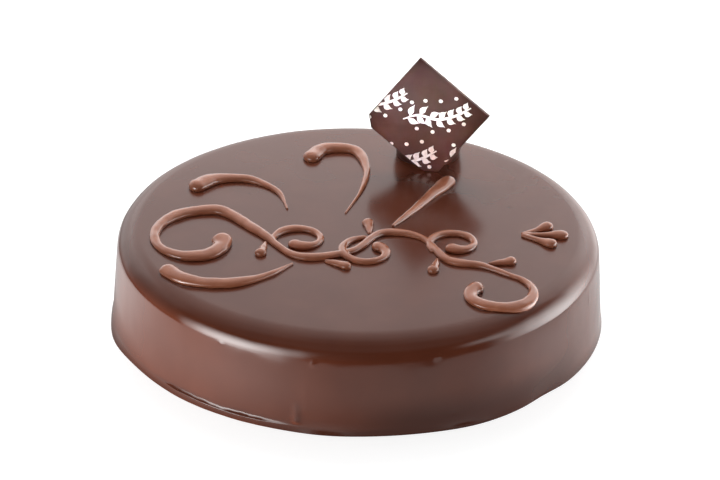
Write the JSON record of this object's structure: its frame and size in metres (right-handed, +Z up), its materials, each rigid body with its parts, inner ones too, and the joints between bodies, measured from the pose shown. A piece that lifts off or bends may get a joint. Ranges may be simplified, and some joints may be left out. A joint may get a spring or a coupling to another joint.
{
  "type": "sachertorte cake",
  "caption": "Whole round chocolate-glazed torte to slice and serve, with piped milk chocolate scrollwork on top and a square chocolate plaque standing on its corner.",
  "frame": {"origin": "centre of the footprint's box, on the surface the cake stands on", "axes": "+Z up, +X to the right and +Y to the back when the face of the plaque is seen from the front"},
  "size_m": [0.2202, 0.2204, 0.0979],
  "materials": {
    "chocolate_glaze": "smooth poured chocolate glaze, satin gloss",
    "dark_chocolate": "moulded dark chocolate, satin",
    "milk_chocolate": "piped milk chocolate, soft gloss"
  },
  "bodies": {
    "root": {"glazed_cake": "chocolate_glaze", "plaque": "dark_chocolate", "truffle": "dark_chocolate", "piped_stem": "milk_chocolate", "piped_bud": "milk_chocolate", "piped_leaf_left": "milk_chocolate", "piped_leaf_hook": "milk_chocolate", "piped_leaf_tall": "milk_chocolate", "piped_leaf_low": "milk_chocolate", "piped_leaflet_1": "milk_chocolate", "piped_leaflet_2": "milk_chocolate", "piped_leaflet_3": "milk_chocolate", "piped_leaflet_4": "milk_chocolate", "piped_leaflet_5": "milk_chocolate"}
  },
  "joints": []
}
